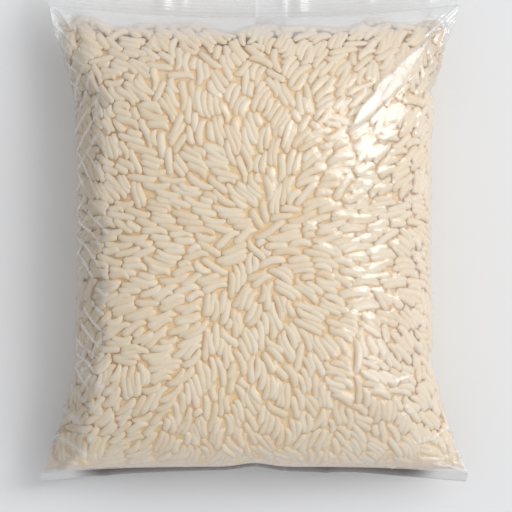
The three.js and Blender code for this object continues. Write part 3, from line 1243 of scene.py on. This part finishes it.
class BAG_OT_back_seam(bpy.types.Operator):
    """Folds the back seam flat against the underside, from seal to seal"""

    bl_idname = "bag.back_seam"
    bl_label = "Back seam"

    def execute(self, context):
        if "film_points" not in shared:
            raise RuntimeError("the back seam lies on the film, so the film comes first")
        settings = context.scene.film_settings
        points = shared["film_points"][:, settings.front_steps :]
        middle = points[len(points) // 2, :, 0]
        near = np.flatnonzero((middle > BACK_SEAM_EDGES[0] - 1) & (middle < BACK_SEAM_EDGES[1] + 1))
        points = points[2:-2, near[0] : near[-1] + 1].copy()
        share = np.linspace(0, 1, points.shape[1])
        points[:, :, 0] = lerp(BACK_SEAM_EDGES[0], BACK_SEAM_EDGES[1], share)
        normal = np.cross(np.gradient(points, axis=0), np.gradient(points, axis=1))
        normal = unit(normal) * -np.sign(normal[:, :, 2].sum())
        inner, outer = (points + normal * height for height in BACK_SEAM_HEIGHTS)
        ring = np.concatenate([inner, outer[:, ::-1]], axis=1)
        ring[:, :, 2] = np.maximum(ring[:, :, 2], 0.04)
        rows, columns = ring.shape[:2]
        faces = grid_faces(rows, columns)
        for row, flip in ((0, False), (rows - 1, True)):
            rim = [row * columns + j for j in range(columns)]
            faces.append(rim if flip else rim[::-1])
        strip = mesh_object("back_seam", ring.reshape(-1, 3), faces)
        turn_outward(strip)
        edge = np.zeros((rows, columns))
        edge[:, [0, columns // 2 - 1, columns // 2, -1]] = 0.5
        add_attribute(strip, "loose", np.ones(rows * columns))
        add_attribute(strip, "white", edge.ravel())
        strip.data.materials.append(film_material("back_seam_film", settings.seal_haze, 0.16))
        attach(strip, BODY)
        return {"FINISHED"}


# Buckles in the crimped bands, in millimetres: place across, place out from the seal, height, width,
# reach.
BUCKLES = {
    "top": (
        (-45.5, 6.0, 0.9, 2.2, 2.6),
        (-39.0, 6.5, 0.7, 1.6, 2.0),
        (-30.5, 4.5, 1.2, 2.4, 3.6),
        (-24.0, 5.0, 0.6, 1.4, 3.0),
        (9.5, 5.0, 0.8, 1.5, 3.6),
        (15.0, 4.2, 1.2, 2.2, 3.6),
        (38.0, 5.0, 0.6, 1.8, 2.6),
        (58.0, 3.0, 0.6, 2.0, 2.0),
    ),
    "bottom": ((-50.0, 5.0, 0.5, 3.0, 4.0), (24.0, 5.0, 0.6, 2.6, 4.0)),
}


SEAL_STEPS = (240, 40)  # mesh steps across the bag and out to the cut edge
RIB_COUNT, RIB_HEIGHT = 7, 0.13
SEAL_HALF_THICKNESS = 0.16


def seal_band(name, end, settings):
    """A crimped seal: two films welded flat, with fine ribs pressed across the bag."""
    across_steps, out_steps = SEAL_STEPS
    across = np.cos(np.linspace(0, math.pi, across_steps + 1))[None, :]
    out = np.linspace(-0.3, BAND, out_steps + 1)[:, None]
    droop = math.radians(BAND_DROOP[end])
    way = 1 if end == "top" else -1
    x = across * FLAT_HALF_WIDTH[end] + 0 * out
    wave = RIB_HEIGHT * np.sin(2 * math.pi * RIB_COUNT * out / BAND) * smooth(out / 0.6)
    flutter = 0.35 * (out / BAND) * lattice_noise(x / 17, out / 30 + 0 * x, 31 + way)
    for place, far, height, width, reach in BUCKLES[end]:
        buckle = height * bell(x - place, width) * bell(out - far, reach)
        flutter = flutter + buckle * smooth(out / 1.5)
    loops = []
    for half in (SEAL_HALF_THICKNESS, -SEAL_HALF_THICKNESS):
        edge = np.sqrt(np.maximum(0, 1 - np.abs(across) ** 60))
        offset = half * edge + wave + flutter
        y = SEAL_Y[end] + bow(np.array(SEAL_Y[end]), across) + way * (
            out * math.cos(droop) + offset * math.sin(droop)
        )
        z = SEAM_HEIGHT[0] - out * math.sin(droop) + offset * math.cos(droop)
        loops.append(np.stack([x, y + 0 * x, z + 0 * x], -1))
    top, under = loops
    ring = np.concatenate([top, under[:, -2:0:-1]], axis=1)
    if way < 0:
        ring = ring[::-1]
    rows, columns = ring.shape[:2]
    faces = grid_faces(rows, columns)
    for row, flip in ((0, False), (rows - 1, True)):
        for j in range(across_steps):
            corners = [row * columns + j, row * columns + j + 1]
            corners += [row * columns + (-k) % columns for k in (j + 1, j)]
            kept = list(dict.fromkeys(corners))
            faces.append(kept[::-1] if flip else kept)
    band = mesh_object(name, ring.reshape(-1, 3), faces)
    add_attribute(band, "loose", np.ones(rows * columns))
    place = ring[:, :, 0]
    seam = 0.10 * ((place > BACK_SEAM_EDGES[0]) & (place < BACK_SEAM_EDGES[1]))
    for edge in BACK_SEAM_EDGES:
        seam = seam + 0.3 * bell(place - edge, 0.4)
    reach = np.concatenate([out + 0 * across, (out + 0 * across)[:, -2:0:-1]], axis=1)
    if way < 0:
        reach = reach[::-1]
    # painted highlight along the cut edge of the lower seal
    seam = seam + 0.35 * smooth((reach - BAND + 0.7) / 0.5) * (end == "bottom")
    add_attribute(band, "white", seam.ravel())
    painted_shade_colour = None
    if end == "bottom":
        # painted shade where the filling hangs over the lower seal, darkest at its root
        painted_shade_colour = hex_colour(settings.dust_hex)
        dust = lerp(0.95, 0.5, smooth(reach / BAND)) * smooth((62 - np.abs(place)) / 12)
        add_attribute(band, "dust", (dust * smooth((BAND - 0.2 - reach) / 0.5)).ravel())
    film = film_material(name + "_film", settings.seal_haze, 0.16, painted_shade_colour)
    band.data.materials.append(film)
    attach(band, BODY)
    return band


class BAG_OT_seals(bpy.types.Operator):
    """Crimps the film shut across the top and the bottom"""

    bl_idname = "bag.seals"
    bl_label = "Seals"

    def execute(self, context):
        settings = context.scene.film_settings
        seal_band("top_seal", "top", settings)
        seal_band("bottom_seal", "bottom", settings)
        return {"FINISHED"}


# The stage, in metres and watts.
FLOOR_HALF_WIDTH = 3000.0  # in millimetres
WORLD_HEX, WORLD_STRENGTH = "#E8EAEE", 0.68
LIGHT_TARGET = (0.0, 0.0, 0.02)
LIGHTS = (
    # name, place, width, height, power
    ("key", (1.368, 0.637, 1.30), 0.72, 1.40, 12.0),
    ("softbox", (1.05, 0.85, 1.80), 1.2, 1.2, 9.0),
    ("low_softbox", (1.225, -0.707, 1.685), 1.0, 1.0, 4.5),
)
SHOWN_WIDTH = 0.1707  # of the seam level, across the whole picture
SEAM_LEVEL = 0.017
CAMERA_OVER = (0.0006, -0.0086)


def area_light(name, place, width, height, power):
    """A white softbox, aimed at the middle of the bag."""
    data = bpy.data.lights.new(name, "AREA")
    data.shape = "RECTANGLE"
    data.size, data.size_y = width, height
    data.energy = power
    light = bpy.data.objects.new(name, data)
    bpy.context.scene.collection.objects.link(light)
    light.location = place
    light.rotation_mode = "QUATERNION"
    light.rotation_quaternion = (Vector(LIGHT_TARGET) - Vector(place)).to_track_quat("-Z", "Y")


class BAG_OT_stage(bpy.types.Operator):
    """Lays the floor and sets the lights and the camera"""

    bl_idname = "bag.stage"
    bl_label = "Stage"

    def execute(self, context):
        settings = context.scene.stage_settings
        corners = [(-1, -1, 0), (1, -1, 0), (1, 1, 0), (-1, 1, 0)]
        floor = mesh_object("floor", np.array(corners) * FLOOR_HALF_WIDTH, [(0, 1, 2, 3)])
        floor.data.materials.append(floor_material(settings))
        world = bpy.data.worlds.new("studio")
        world.use_nodes = True
        sky = world.node_tree.nodes["Background"].inputs
        sky["Color"].default_value = hex_colour(WORLD_HEX)
        sky["Strength"].default_value = WORLD_STRENGTH
        context.scene.world = world
        for light in LIGHTS:
            area_light(*light)
        data = bpy.data.cameras.new("camera")
        data.sensor_width = 36.0
        data.lens = data.sensor_width * settings.camera_height / SHOWN_WIDTH
        data.clip_start, data.clip_end = 0.01, 20.0
        camera = bpy.data.objects.new("camera", data)
        context.scene.collection.objects.link(camera)
        camera.location = (*CAMERA_OVER, SEAM_LEVEL + settings.camera_height)
        context.scene.camera = camera
        context.scene.view_settings.view_transform = "Standard"
        return {"FINISHED"}


class BAG_PT_panel(bpy.types.Panel):
    """Lists the bag's pieces in the sidebar"""

    bl_idname = "BAG_PT_panel"
    bl_label = "Bag of rice"
    bl_space_type = "VIEW_3D"
    bl_region_type = "UI"
    bl_category = "Bag of rice"

    def draw(self, context):
        scene = context.scene
        for group in (scene.rice_settings, scene.film_settings, scene.stage_settings):
            box = self.layout.box()
            for name in group.__annotations__:
                box.prop(group, name)
        for operator in OPERATORS:
            self.layout.operator(operator.bl_idname)


OPERATORS = (BAG_OT_rice, BAG_OT_core, BAG_OT_film, BAG_OT_back_seam, BAG_OT_seals, BAG_OT_stage)
GROUPS = {
    "rice_settings": RiceSettings,
    "film_settings": FilmSettings,
    "stage_settings": StageSettings,
}


def register():
    for made in (*GROUPS.values(), *OPERATORS, BAG_PT_panel):
        bpy.utils.register_class(made)
    for name, group in GROUPS.items():
        setattr(bpy.types.Scene, name, bpy.props.PointerProperty(type=group))


def unregister():
    for name in GROUPS:
        delattr(bpy.types.Scene, name)
    for made in reversed((*GROUPS.values(), *OPERATORS, BAG_PT_panel)):
        bpy.utils.unregister_class(made)


def main():
    register()
    bpy.ops.bag.rice()
    bpy.ops.bag.core()
    bpy.ops.bag.film()
    bpy.ops.bag.back_seam()
    bpy.ops.bag.seals()
    bpy.ops.bag.stage()


if __name__ == "__main__":
    main()
